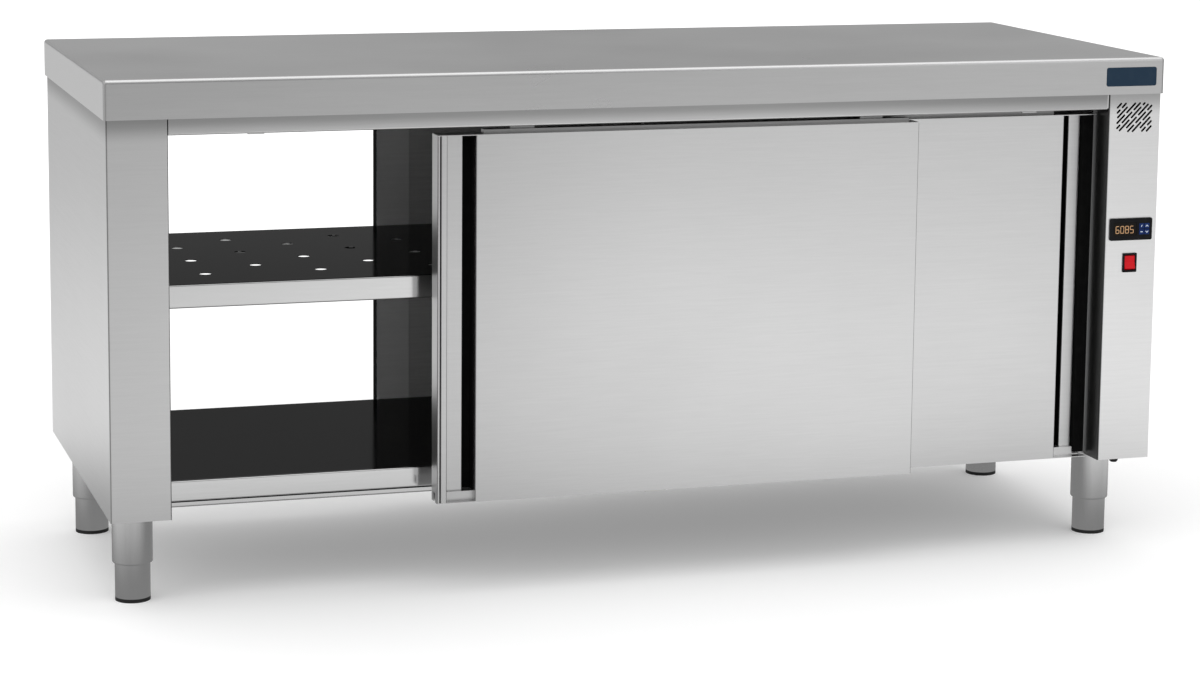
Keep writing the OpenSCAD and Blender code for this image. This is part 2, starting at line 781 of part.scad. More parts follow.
module rounded_plate(w, h, r, y0, y1) {
    translate([0, y1, 0]) rotate([90, 0, 0]) linear_extrude(y1 - y0) {
        translate([-w / 2 + r, -h / 2]) square([w - 2 * r, h]);
        translate([-w / 2, -h / 2 + r]) square([w, h - 2 * r]);
        for (sx = [-1, 1], sz = [-1, 1]) translate([sx * (w / 2 - r), sz * (h / 2 - r)]) circle(r);
    }
}

// Positions of the four keys: column and row from the middle of the key pad.
module key_place(col, row) {
    translate([pad_x + col * (key_w + key_gap) / 2, 0, ctrl_z + row * (key_w + key_gap) / 2]) children();
}

module key_pocket() {
    w = key_w + 2 * stop_fit;
    box(-w / 2, w / 2, -body_y - ctrl_out - 1, -body_y - ctrl_out + key_t + key_travel + stop_fit, -w / 2, w / 2);
}

module controller_body() {
    face = -body_y - ctrl_out;
    color("#202022") difference() {
        union() {
            translate([panel_x, 0, ctrl_z]) rounded_plate(ctrl_w, ctrl_h, ctrl_r, face, -body_y);
            box(panel_x - ctrl_case_w / 2, panel_x + ctrl_case_w / 2, -body_y - 0.5, -body_y + ctrl_deep,
                ctrl_z - ctrl_case_h / 2, ctrl_z + ctrl_case_h / 2);
        }
        box(disp_x, disp_x + disp_w, face - 1, face + 1.5, ctrl_z - disp_h / 2, ctrl_z + disp_h / 2);
        for (c = [-1, 1], r = [-1, 1]) key_place(c, r) key_pocket();
    }
}

module controller_display() {
    face = -body_y - ctrl_out;
    color("#3a2c1c") box(disp_x + stop_fit, disp_x + disp_w - stop_fit, face + 0.5, face + 1.5,
        ctrl_z - disp_h / 2 + stop_fit, ctrl_z + disp_h / 2 - stop_fit);
}

module key(col, row) {
    color("#1b3a80") key_place(col, row) box(-key_w / 2, key_w / 2,
        -body_y - ctrl_out - 0.6, -body_y - ctrl_out - 0.6 + key_t, -key_w / 2, key_w / 2);
}

rocker_y = 5;

module switch_bezel() {
    w = rocker_w + 2 * stop_fit;
    h = 2 * rocker_r + 2 * stop_fit;
    color("black") translate([panel_x, 0, switch_z]) {
        difference() {
            union() {
                rounded_plate(switch_w, switch_h, 1.5, -body_y - 2, -body_y);
                box(-switch_w / 2 + 2, switch_w / 2 - 2, -body_y - 0.5, -body_y + 24,
                    -switch_h / 2 + 2, switch_h / 2 - 2);
            }
            box(-w / 2, w / 2, -body_y - 5, -body_y + 20, -h / 2, h / 2);
        }
        translate([-w / 2 - 1, -body_y + rocker_y, 0]) rotate([0, 90, 0]) cylinder(r = 1.5, h = w + 2);
    }
}

module switch_rocker() {
    front = -8.2;
    color("#d5121b") translate([panel_x - rocker_w / 2, -body_y + rocker_y, switch_z])
        rotate([-rocker_tilt, 0, 0]) rotate([90, 0, 90]) linear_extrude(rocker_w) difference() {
            intersection() {
                circle(rocker_r);
                polygon([[front + 2, 0], [front + 0.4, 14], [5, 14], [8, 0], [5, -14], [front + 0.4, -14]]);
            }
            circle(1.5 + run_fit);
        }
}

// The badge's outline, wider by grow on every side, from the depth of its pocket to front.
module badge_shape(grow, front) {
    translate([top_len / 2 - badge_in, 0, body_z1 + top_h / 2 - 1])
        rounded_plate(badge_w + 2 * grow, badge_h + 2 * grow, 4, -top_dep / 2 + front, -top_dep / 2 + badge_t);
}

module badge_plate() {
    color("#22384a") badge_shape(0, 0);
}

module cable_gland() {
    color("black") translate([open_x + gland_x, -body_y + gland_y, body_z0]) difference() {
        union() {
            translate([0, 0, -3]) cylinder(r = gland_r, h = 3);
            translate([0, 0, -3]) intersection() {
                sphere(gland_r);
                translate([0, 0, -gland_r + 2]) cylinder(r = gland_r + 1, h = gland_r - 2);
            }
            translate([0, 0, -1]) cylinder(r = gland_r - 2, h = 12);
            translate([0, 0, sheet + 0.2]) cylinder(r = gland_r, h = 5, $fn = 6);
        }
        translate([0, 0, -20]) cylinder(r = gland_bore, h = 40);
    }
}

module ring(radius, tube) {
    rotate([0, 90, 0]) rotate_extrude() translate([radius, 0]) circle(tube);
}

heater_x = 16;
post_count = 3;

// Tubular ring round the fan, on three clips, with its two ends turned to the terminals.
module heating_element() {
    color("darkgray") translate([wall_x, 0, fan_z]) {
        translate([heater_x, 0, 0]) ring(heater_r, heater_tube);
        for (i = [0 : post_count - 1]) rotate([i * 360 / post_count, 0, 0])
            translate([0, 0, heater_r]) rotate([0, 90, 0]) cylinder(r = 2.5, h = heater_x);
        for (s = [-1, 1]) translate([heater_x, s * 9, -heater_r]) rotate([0, 90, 0])
            cylinder(r = heater_tube * 0.8, h = 18);
    }
}

module fan_motor() {
    post_r = fan_r + 12;
    color("dimgray") translate([plate_x, 0, fan_z]) {
        rotate([0, 90, 0]) cylinder(r = fan_r + 17, h = 3);
        rotate([0, 90, 0]) cylinder(r = motor_r, h = 3 + motor_len);
        translate([-wheel_gap - shaft_in, 0, 0]) rotate([0, 90, 0])
            cylinder(r = shaft_r, h = wheel_gap + shaft_in + 4);
        for (i = [0 : post_count - 1]) rotate([60 + i * 360 / post_count, 0, 0])
            translate([wall_x - plate_x, 0, post_r]) rotate([0, 90, 0]) cylinder(r = 4, h = plate_x - wall_x + 1);
    }
}

module fan_wheel() {
    hub_x = plate_x - wheel_gap - fan_w;
    color("silver") translate([hub_x, 0, fan_z]) difference() {
        union() {
            rotate([0, 90, 0]) cylinder(r = 12, h = fan_w);
            translate([fan_w - 2, 0, 0]) rotate([0, 90, 0]) cylinder(r = fan_r, h = 2);
            for (i = [0 : fan_blades - 1]) rotate([i * 360 / fan_blades, 0, 0])
                translate([0, -0.75, 10]) cube([fan_w - 1, 1.5, fan_r - 10]);
        }
        translate([-1, 0, 0]) rotate([0, 90, 0]) cylinder(r = shaft_r + run_fit, h = fan_w + 2);
    }
}

module temperature_probe() {
    color("silver") translate([open_x, car_y * 0.6, probe_z]) rotate([0, 90, 0]) {
        translate([0, 0, -probe_in]) cylinder(r = probe_r, h = probe_in + probe_out);
        translate([0, 0, sheet]) cylinder(r = probe_r + 5, h = 3);
    }
}

module terminal_block() {
    z0 = body_z0 + sheet;
    color("ivory") difference() {
        translate([panel_x - block_w / 2, -car_y + block_in, z0]) cube([block_w, block_l, block_h]);
        for (i = [-2 : 2], s = [-1, 1])
            translate([panel_x + s * block_w / 4, -car_y + block_in + block_l / 2 + i * block_pitch, z0 + 8])
                cylinder(r = 2.4, h = block_h);
    }
}

module at_plate_screws() {
    for (sx = [-1, 1], sy = [-1, 1]) translate([sx * plate_pitch / 2, sy * plate_pitch / 2, 0]) children();
}

module leg_sockets() {
    ri = socket_r - socket_t;
    top = body_z0 - plate_t;
    color("gainsboro") at_legs() {
        translate([0, 0, socket_z]) rotate_extrude() difference() {
            translate([ri, 0]) square([socket_t, top - socket_z + 0.5]);
            translate([socket_r - socket_round, 0]) difference() {
                translate([0, -1]) square([socket_round + 1, socket_round + 1]);
                translate([0, socket_round]) circle(socket_round);
            }
        }
        difference() {
            translate([-leg_plate / 2, -leg_plate / 2, top]) cube([leg_plate, leg_plate, plate_t]);
            at_plate_screws() translate([0, 0, top - 1]) cylinder(r = plate_hole_r, h = plate_t + 2);
        }
    }
}

module foot() {
    ri = socket_r - socket_t - run_fit;
    top = socket_z + foot_in;
    color("gainsboro") rotate_extrude() {
        translate([foot_r - foot_t, pad_h]) square([foot_t, top - pad_h]);
        translate([foot_r - foot_t - 0.5, top - ring_h]) square([ri - foot_r + foot_t + 0.5, ring_h]);
    }
    color("black") rotate_extrude() {
        square([foot_r, pad_h]);
        translate([0, pad_h]) square([foot_r - foot_t, 6]);
    }
}

module screws() {
    color("silver") {
        at_legs() at_plate_screws() translate([0, 0, body_z0 - plate_t]) {
            translate([0, 0, -3]) cylinder(r = 4.5, h = 3);
            cylinder(r = plate_hole_r - 0.3, h = plate_t + sheet + 3);
        }
        at_guide_screws() translate([0, 0, door_z0 - 3.5]) {
            translate([0, 0, -1.5]) cylinder(r = 4, h = 1.5);
            cylinder(r = guide_hole_r - 0.3, h = body_z0 - door_z0 + 3.5 + sheet + 3);
        }
    }
}

worktop();
worktop_channels();
left_side_panel();
left_liner();
right_side_panel();
right_liner();
control_panel();
floor_pan();
base_pan();
ceiling_pan();
middle_shelf();
shelf_supports();
fascias();
door_tracks();
bottom_guides();
place_front_outer() outer_door_shell();  // front_outer_door
place_front_outer() door_back(outer_pull);  // front_outer_back
place_front_outer() door_hanger(outer_pull);  // front_outer_hanger
place_front_outer() door_roller(outer_pull, 0);  // front_outer_roller_l
place_front_outer() door_roller(outer_pull, 1);  // front_outer_roller_r
place_front_inner() inner_door_shell();  // front_inner_door
place_front_inner() door_back(inner_pull);  // front_inner_back
place_front_inner() door_hanger(inner_pull);  // front_inner_hanger
place_front_inner() door_roller(inner_pull, 1);  // front_inner_roller_l
place_front_inner() door_roller(inner_pull, 0);  // front_inner_roller_r
place_front_inner() door_buffer();  // front_inner_buffer
place_rear_outer() outer_door_shell();  // rear_outer_door
place_rear_outer() door_back(outer_pull);  // rear_outer_back
place_rear_outer() door_hanger(outer_pull);  // rear_outer_hanger
place_rear_outer() door_roller(outer_pull, 1);  // rear_outer_roller_l
place_rear_outer() door_roller(outer_pull, 0);  // rear_outer_roller_r
place_rear_inner() inner_door_shell();  // rear_inner_door
place_rear_inner() door_back(inner_pull);  // rear_inner_back
place_rear_inner() door_hanger(inner_pull);  // rear_inner_hanger
place_rear_inner() door_roller(inner_pull, 0);  // rear_inner_roller_l
place_rear_inner() door_roller(inner_pull, 1);  // rear_inner_roller_r
place_rear_inner() door_buffer();  // rear_inner_buffer
controller_body();
controller_display();
key(-1, 1);  // key_exit
key(1, 1);  // key_up
key(-1, -1);  // key_set
key(1, -1);  // key_down
switch_bezel();
switch_rocker();
badge_plate();
cable_gland();
heating_element();
fan_motor();
fan_wheel();
temperature_probe();
terminal_block();
leg_sockets();
translate([-leg_x, -leg_y, 0]) foot();  // foot_front_left
translate([leg_x, -leg_y, 0]) foot();  // foot_front_right
translate([-leg_x, leg_y, 0]) foot();  // foot_rear_left
translate([leg_x, leg_y, 0]) foot();  // foot_rear_right
screws();
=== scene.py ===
# %% [markdown]
# # Pass-through hot cupboard with sliding doors
# A catering hot cupboard is a heated steel box with a shelf. It is folded from stainless sheet and opens at
# the front and at the rear, so it can be filled from one side and emptied from the other.
# The construction comes as a fixed frame, in metres, with every sheet, roller and key at its real size.
# This script gives each of those pieces its finish, adds the small printed and moulded details, and lights
# the whole.

# %% Load the frame
import math

import bpy
import numpy as np
from mathutils import Matrix, Vector


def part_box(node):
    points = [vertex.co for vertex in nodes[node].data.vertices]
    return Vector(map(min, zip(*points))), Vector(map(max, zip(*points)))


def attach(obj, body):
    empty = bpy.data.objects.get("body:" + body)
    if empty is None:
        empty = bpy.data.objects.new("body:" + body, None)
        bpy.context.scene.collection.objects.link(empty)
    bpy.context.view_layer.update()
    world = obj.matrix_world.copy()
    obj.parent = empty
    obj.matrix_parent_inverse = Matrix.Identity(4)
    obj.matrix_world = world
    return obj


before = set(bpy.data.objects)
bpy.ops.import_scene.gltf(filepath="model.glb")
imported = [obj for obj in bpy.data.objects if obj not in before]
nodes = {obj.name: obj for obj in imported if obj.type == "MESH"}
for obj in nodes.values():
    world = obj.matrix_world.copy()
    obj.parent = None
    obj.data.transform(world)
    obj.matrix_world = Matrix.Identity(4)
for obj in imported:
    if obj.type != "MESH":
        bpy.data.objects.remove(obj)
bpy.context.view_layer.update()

# %% [markdown]
# ## The camera
# The photograph was taken from the left and a little above the worktop, with a long lens. The place and the
# angles below were found by fitting a camera to the corners of the worktop and to the feet. A small downward
# shift keeps the cupboard in the middle of the frame while the camera looks only 8 degrees down, so the
# uprights converge only a little.

# %% Place the camera
IMAGE_W, IMAGE_H = 1200, 683
FOCAL_PX = 3084.6
YAW, PITCH, ROLL = 0.3050, -0.1442, 0.0099
EYE = Vector((-1.580, -5.0396, 1.3530))
AXIS_PX = (600.0, 200.0)


def camera_axes(yaw, pitch, roll):
    """Right, up and forward of a camera that first looks along +Y, turns right by yaw, nods up by pitch, and
    rolls about its own view by roll."""
    forward = Vector((math.sin(yaw) * math.cos(pitch), math.cos(yaw) * math.cos(pitch), math.sin(pitch)))
    level = Vector((math.cos(yaw), -math.sin(yaw), 0.0))
    upright = level.cross(forward)
    right = level * math.cos(roll) + upright * math.sin(roll)
    up = upright * math.cos(roll) - level * math.sin(roll)
    return right, up, forward


right, up, forward = camera_axes(YAW, PITCH, ROLL)
camera_data = bpy.data.cameras.new("camera")
camera = bpy.data.objects.new("camera", camera_data)
bpy.context.collection.objects.link(camera)
camera.matrix_world = Matrix.Translation(EYE) @ Matrix((right, up, -forward)).transposed().to_4x4()
camera_data.sensor_fit = "HORIZONTAL"
camera_data.sensor_width = 36.0
camera_data.lens = FOCAL_PX / IMAGE_W * camera_data.sensor_width
camera_data.shift_x = (IMAGE_W / 2 - AXIS_PX[0]) / IMAGE_W
camera_data.shift_y = (AXIS_PX[1] - IMAGE_H / 2) / IMAGE_W
camera_data.clip_end = 100.0
bpy.context.scene.camera = camera
print("lens", round(camera_data.lens, 1), "mm, shift", round(camera_data.shift_y, 3))

# %% [markdown]
# ## The studio
# Bare steel has almost no colour of its own: what we see on it is the room. So the room is built with care.
# The world is white to the camera. The steel sees a graded grey room instead, which brings its sheets nearer
# to the shading in the photograph: pale below the horizon, a dark band just above it, and paler again higher
# up. A ramp over the height of the view holds those greys. Rays that carry soft light see an even white.

# %% Helpers for node trees
def add_node(tree, kind, place=(0, 0), **settings):
    """A node of this kind at this place of the tree, with the given properties set."""
    node = tree.nodes.new(kind)
    node.location = place
    for key, value in settings.items():
        setattr(node, key, value)
    return node


def ray_mask(tree):
    """1 for camera, glossy and transmission rays, 0 for the rays that carry soft light."""
    path = add_node(tree, "ShaderNodeLightPath", (-900, 300))
    first = add_node(tree, "ShaderNodeMath", (-700, 300), operation="MAXIMUM")
    second = add_node(tree, "ShaderNodeMath", (-500, 300), operation="MAXIMUM")
    tree.links.new(path.outputs["Is Camera Ray"], first.inputs[0])
    tree.links.new(path.outputs["Is Glossy Ray"], first.inputs[1])
    tree.links.new(first.outputs[0], second.inputs[0])
    tree.links.new(path.outputs["Is Transmission Ray"], second.inputs[1])
    return path, second.outputs[0]


# %% The world
SOFT_LIGHT = 0.88
NADIR, ZENITH = 0.92, 0.54
ROOM_GREYS = ((0.495, 0.70), (0.51, 0.24), (0.59, 0.22), (0.66, 0.46), (0.78, 0.62))
world = bpy.data.worlds.new("studio")
bpy.context.scene.world = world
world.use_nodes = True
wt = world.node_tree
wt.nodes.clear()
path, seen = ray_mask(wt)
where = add_node(wt, "ShaderNodeTexCoord", (-1100, -100))
split = add_node(wt, "ShaderNodeSeparateXYZ", (-900, -100))
wt.links.new(where.outputs["Generated"], split.inputs[0])
height = add_node(wt, "ShaderNodeMapRange", (-700, -100))
height.inputs["From Min"].default_value = -1.0
height.inputs["From Max"].default_value = 1.0
wt.links.new(split.outputs["Z"], height.inputs["Value"])
room = add_node(wt, "ShaderNodeValToRGB", (-500, -100))
first, last = room.color_ramp.elements
first.color = (NADIR, NADIR, NADIR, 1)
last.color = (ZENITH, ZENITH, ZENITH, 1)
for stop, grey in ROOM_GREYS:
    room.color_ramp.elements.new(stop).color = (grey, grey, grey, 1)
wt.links.new(height.outputs[0], room.inputs[0])
light_only = add_node(wt, "ShaderNodeBackground", (-200, 100))
light_only.inputs["Color"].default_value = (1, 1, 1, 1)
light_only.inputs["Strength"].default_value = SOFT_LIGHT
room_view = add_node(wt, "ShaderNodeBackground", (-200, -50))
wt.links.new(room.outputs[0], room_view.inputs["Color"])
white_view = add_node(wt, "ShaderNodeBackground", (-200, -200))
white_view.inputs["Color"].default_value = (1, 1, 1, 1)
pick_room = add_node(wt, "ShaderNodeMixShader", (50, 50))
wt.links.new(seen, pick_room.inputs[0])
wt.links.new(light_only.outputs[0], pick_room.inputs[1])
wt.links.new(room_view.outputs[0], pick_room.inputs[2])
pick_white = add_node(wt, "ShaderNodeMixShader", (250, 50))
wt.links.new(path.outputs["Is Camera Ray"], pick_white.inputs[0])
wt.links.new(pick_room.outputs[0], pick_white.inputs[1])
wt.links.new(white_view.outputs[0], pick_white.inputs[2])
world_out = add_node(wt, "ShaderNodeOutputWorld", (450, 50))
wt.links.new(pick_white.outputs[0], world_out.inputs[0])
print("world with", len(room.color_ramp.elements), "greys")

# %% [markdown]
# ## The paper floor
# The floor is one wide sheet of pale paper that takes the cupboard's shadow. The camera should see it fade to
# pure white, so it gets a glow that grows with the distance from the cupboard. In the steel it shows as a
# pool of light around the cupboard, brightest in front to the right, with a painted shadow where it stands.
# That pool is what gives the upright sheets their soft shading from a darker top to a brighter foot.

# %% Distances on the floor
def socket_or_number(tree, value, socket):
    """Feeds a socket with another socket, or sets its number."""
    if isinstance(value, (int, float)):
        socket.default_value = value
    elif value is not None:
        tree.links.new(value, socket)


def chain_math(tree, operation, a, b, place):
    """One Math node. Each of a and b is a socket or a number."""
    node = add_node(tree, "ShaderNodeMath", place, operation=operation)
    socket_or_number(tree, a, node.inputs[0])
    socket_or_number(tree, b, node.inputs[1])
    return node.outputs[0]


def smooth_range(tree, value, start, stop, first, last, place):
    """Goes smoothly from first to last while value goes from start to stop."""
    node = add_node(tree, "ShaderNodeMapRange", place, interpolation_type="SMOOTHSTEP")
    for label, number in (("From Min", start), ("From Max", stop), ("To Min", first), ("To Max", last)):
        node.inputs[label].default_value = number
    tree.links.new(value, node.inputs["Value"])
    return node.outputs[0]


def floor_distance(tree, vector, centre, half, place):
    """Distance along the floor from a rectangle: the length of max(|p - centre| - half, 0) in x and y."""
    moved = add_node(tree, "ShaderNodeVectorMath", place, operation="SUBTRACT")
    tree.links.new(vector, moved.inputs[0])
    moved.inputs[1].default_value = (*centre, 0.0)
    size = add_node(tree, "ShaderNodeVectorMath", (place[0] + 180, place[1]), operation="ABSOLUTE")
    tree.links.new(moved.outputs[0], size.inputs[0])
    outside = add_node(tree, "ShaderNodeVectorMath", (place[0] + 360, place[1]), operation="SUBTRACT")
    tree.links.new(size.outputs[0], outside.inputs[0])
    outside.inputs[1].default_value = (*half, 1.0)
    clipped = add_node(tree, "ShaderNodeVectorMath", (place[0] + 540, place[1]), operation="MAXIMUM")
    tree.links.new(outside.outputs[0], clipped.inputs[0])
    length = add_node(tree, "ShaderNodeVectorMath", (place[0] + 720, place[1]), operation="LENGTH")
    tree.links.new(clipped.outputs[0], length.inputs[0])
    return length.outputs["Value"]


# %% The floor and its material
FLOOR_HALF = 30.0
FOOTPRINT_HALF = (0.9, 0.35)
PAPER = 0.82
BRIGHT_SPOT = (1.1, -2.7)
# Each is two distances in metres and the strength, or for the painted shadow of the foot print the factor,
# at each of them.
HAZE = (0.6, 5.0, 0.22, 0.55)
POOL = (0.9, 5.2, 0.80, 0.56)
BRIGHT = (0.0, 2.6, 0.56, 0.0)
FOOT_PRINT_SHADOW = (0.0, 0.8, 0.34, 1.0)
corner = np.array([[-1, -1], [1, -1], [1, 1], [-1, 1]]) * FLOOR_HALF
floor_mesh = bpy.data.meshes.new("paper_floor")
floor_mesh.from_pydata([(x, y, 0.0) for x, y in corner], [], [(0, 1, 2, 3)])
floor = bpy.data.objects.new("paper_floor", floor_mesh)
bpy.context.collection.objects.link(floor)
paper = bpy.data.materials.new("pale_paper")
paper.use_nodes = True
pt = paper.node_tree
pt.nodes.clear()
path = add_node(pt, "ShaderNodeLightPath", (-900, 500))
spot = add_node(pt, "ShaderNodeTexCoord", (-2200, 0))
away = floor_distance(pt, spot.outputs["Object"], (0.0, 0.0), FOOTPRINT_HALF, (-2000, 200))
aside = floor_distance(pt, spot.outputs["Object"], BRIGHT_SPOT, (0.0, 0.0), (-2000, -200))
matt = add_node(pt, "ShaderNodeBsdfDiffuse", (-200, 100))
matt.inputs["Color"].default_value = (PAPER, PAPER, PAPER, 1)
haze = smooth_range(pt, away, *HAZE, (-900, 200))
shown_haze = chain_math(pt, "MULTIPLY", haze, path.outputs["Is Camera Ray"], (-500, 250))
glow = add_node(pt, "ShaderNodeEmission", (-200, -50))
glow.inputs["Color"].default_value = (1, 1, 1, 1)
pt.links.new(shown_haze, glow.inputs["Strength"])
both = add_node(pt, "ShaderNodeAddShader", (0, 50))
pt.links.new(matt.outputs[0], both.inputs[0])
pt.links.new(glow.outputs[0], both.inputs[1])
pool = smooth_range(pt, away, *POOL, (-900, 0))
bright = smooth_range(pt, aside, *BRIGHT, (-900, -200))
# The foot print's painted shadow: the floor that the steel sees falls to about a third close to the cupboard.
foot_print_shadow = smooth_range(pt, away, *FOOT_PRINT_SHADOW, (-900, -400))
lit = chain_math(pt, "ADD", pool, bright, (-650, -100))
mirrored = chain_math(pt, "MULTIPLY", lit, foot_print_shadow, (-450, -200))
in_steel = add_node(pt, "ShaderNodeEmission", (-200, -250))
pt.links.new(mirrored, in_steel.inputs["Strength"])
pick = add_node(pt, "ShaderNodeMixShader", (200, 0))
glossy_ray, clear_ray = path.outputs["Is Glossy Ray"], path.outputs["Is Transmission Ray"]
shiny = chain_math(pt, "MAXIMUM", glossy_ray, clear_ray, (-500, 500))
pt.links.new(shiny, pick.inputs[0])
pt.links.new(both.outputs[0], pick.inputs[1])
pt.links.new(in_steel.outputs[0], pick.inputs[2])
paper_out = add_node(pt, "ShaderNodeOutputMaterial", (400, 0))
pt.links.new(pick.outputs[0], paper_out.inputs[0])
floor_mesh.materials.append(paper)
print("floor", FLOOR_HALF * 2, "m wide")

# %% [markdown]
# ## The lamps
# Three lamps stand for a studio's softboxes. A lamp adds its light to what the steel mirrors of the room, so
# each is large and weak: a smaller and stronger one can turn parts of the worktop plain white.

# %% The lamps
def softbox(name, place, aim, size, watts):
    """A rectangular lamp at place, turned so that it shines at aim."""
    data = bpy.data.lights.new(name, "AREA")
    data.shape = "RECTANGLE"
    data.size, data.size_y = size
    data.energy = watts
    lamp = bpy.data.objects.new(name, data)
    bpy.context.collection.objects.link(lamp)
    lamp.location = place
    lamp.rotation_euler = (Vector(aim) - Vector(place)).to_track_quat("-Z", "Y").to_euler()


softbox("key_right", (4.2, -5.2, 2.4), (0.6, -0.3, 0.5), (4.6, 3.6), 34)
softbox("fill_left", (-4.4, -1.6, 2.2), (-0.9, 0.0, 0.5), (4.4, 3.6), 28)
softbox("top_light", (0.0, -0.5, 4.0), (0.0, 0.0, 0.0), (6.0, 5.0), 62)

# %% [markdown]
# ## The grain of brushed sheet
# Stainless sheet is ground with a belt before it is folded, which leaves fine straight scratches along the
# belt's run. Here they are a few centimetres long and under a millimetre wide, drawn by a noise that is
# stretched along one axis.
# One shared group holds this, because the worktop, the panels and the doors have the same grain in different
# directions. It also puts out broader streaks, a slow cloudiness from handling and wiping, and a mask for
# the upright folds, where a painted dark line stands for the dark reflection along a bend: there the surface
# turns from X to Y.
# All octaves of a noise line up where a coordinate is zero, which left faint marks across the middle of the
# worktop, so the pattern is first moved away from there.

# %% The grain group
def group_with(name, ins, outs):
    """An empty shader group with these inputs and outputs, each given as (name, type)."""
    group = bpy.data.node_groups.new(name, "ShaderNodeTree")
    for way, sockets in (("INPUT", ins), ("OUTPUT", outs)):
        for label, kind in sockets:
            group.interface.new_socket(label, in_out=way, socket_type=kind)
    start = add_node(group, "NodeGroupInput", (-1200, 0))
    end = add_node(group, "NodeGroupOutput", (900, 0))
    return group, start, end


PATTERN_OFFSET = (3.37, 2.61, 1.83)
COARSER = (0.35, 0.22, 0.22)
BROADER = (0.16, 0.16, 0.16)
CLOUD_SCALE = 1.6
FOLD_SHADE_EDGES = (0.12, 0.45)
grain, gin, gout = group_with(
    "brushed_grain",
    [("Vector", "NodeSocketVector"), ("Normal", "NodeSocketVector"), ("Stretch", "NodeSocketVector")],
    [("Grain", "NodeSocketFloat"), ("Streaks", "NodeSocketFloat"), ("Cloud", "NodeSocketFloat"),
     ("Fold Shade", "NodeSocketFloat")])
away_from_zero = add_node(grain, "ShaderNodeVectorMath", (-1100, -200), operation="ADD")
away_from_zero.inputs[1].default_value = PATTERN_OFFSET
grain.links.new(gin.outputs["Vector"], away_from_zero.inputs[0])
stretched = add_node(grain, "ShaderNodeVectorMath", (-950, 200), operation="MULTIPLY")
grain.links.new(away_from_zero.outputs[0], stretched.inputs[0])
grain.links.new(gin.outputs["Stretch"], stretched.inputs[1])
fine = add_node(grain, "ShaderNodeTexNoise", (-700, 300))
fine.inputs["Scale"].default_value = 1.0
fine.inputs["Detail"].default_value = 3.0
fine.inputs["Roughness"].default_value = 0.65
grain.links.new(stretched.outputs[0], fine.inputs["Vector"])
coarse_vec = add_node(grain, "ShaderNodeVectorMath", (-950, 0), operation="MULTIPLY")
coarse_vec.inputs[1].default_value = COARSER
grain.links.new(stretched.outputs[0], coarse_vec.inputs[0])
coarse = add_node(grain, "ShaderNodeTexNoise", (-700, 50))
coarse.inputs["Scale"].default_value = 1.0
coarse.inputs["Detail"].default_value = 2.0
grain.links.new(coarse_vec.outputs[0], coarse.inputs["Vector"])
both_noises = chain_math(grain, "ADD", fine.outputs["Fac"], coarse.outputs["Fac"], (-450, 200))
half = chain_math(grain, "MULTIPLY", both_noises, 0.5, (-250, 200))
grain.links.new(half, gout.inputs["Grain"])
cloud = add_node(grain, "ShaderNodeTexNoise", (-700, -200))
cloud.inputs["Scale"].default_value = CLOUD_SCALE
cloud.inputs["Detail"].default_value = 4.0
cloud.inputs["Roughness"].default_value = 0.55
grain.links.new(away_from_zero.outputs[0], cloud.inputs["Vector"])
grain.links.new(cloud.outputs["Fac"], gout.inputs["Cloud"])
streak_vec = add_node(grain, "ShaderNodeVectorMath", (-950, -450), operation="MULTIPLY")
streak_vec.inputs[1].default_value = BROADER
grain.links.new(stretched.outputs[0], streak_vec.inputs[0])
streaks = add_node(grain, "ShaderNodeTexNoise", (-700, -450))
streaks.inputs["Scale"].default_value = 1.0
streaks.inputs["Detail"].default_value = 3.0
streaks.inputs["Roughness"].default_value = 0.6
grain.links.new(streak_vec.outputs[0], streaks.inputs["Vector"])
grain.links.new(streaks.outputs["Fac"], gout.inputs["Streaks"])
# The fold mask: painted shade along the upright bends, standing for their dark reflection.
facing = add_node(grain, "ShaderNodeSeparateXYZ", (-950, -700))
grain.links.new(gin.outputs["Normal"], facing.inputs[0])
along_x = chain_math(grain, "ABSOLUTE", facing.outputs["X"], None, (-750, -650))
along_y = chain_math(grain, "ABSOLUTE", facing.outputs["Y"], None, (-750, -800))
least = chain_math(grain, "MINIMUM", along_x, along_y, (-550, -700))
fold_shade = smooth_range(grain, least, *FOLD_SHADE_EDGES, 0.0, 1.0, (-350, -700))
grain.links.new(fold_shade, gout.inputs["Fold Shade"])
print("group", grain.name, "with", len(grain.nodes), "nodes")

# %% [markdown]
# ## Steel finishes
# A brushed finish is metal whose colour follows the grain a little and whose gloss follows the cloudiness,
# over a bump so slight that it only blurs the reflection. The pans inside are the same steel as delivered
# from the mill, without the belt's scratches, so they are smoother. Inside the chamber their colour is a
# painted shade, much darker, and a specular tint weakens what they mirror at a grazing angle. The backs of
# the doors and the covers on their closing edges are only partly metal, which makes them duller. The greys of
# the sheets differ as painted light and shade, and some sheets carry more painted shade by place, as under
# the worktop's lip and at the folds, to come nearer to the photograph. The legs are polished tube.

# %% Steel materials
GRAIN_SHARE, STREAK_SHARE = 0.7, 0.3
TONE_RANGE = (0.35, 0.65)
CLOUD_RANGE = (0.3, 0.7)
SCRATCH_DEPTH = 0.0002


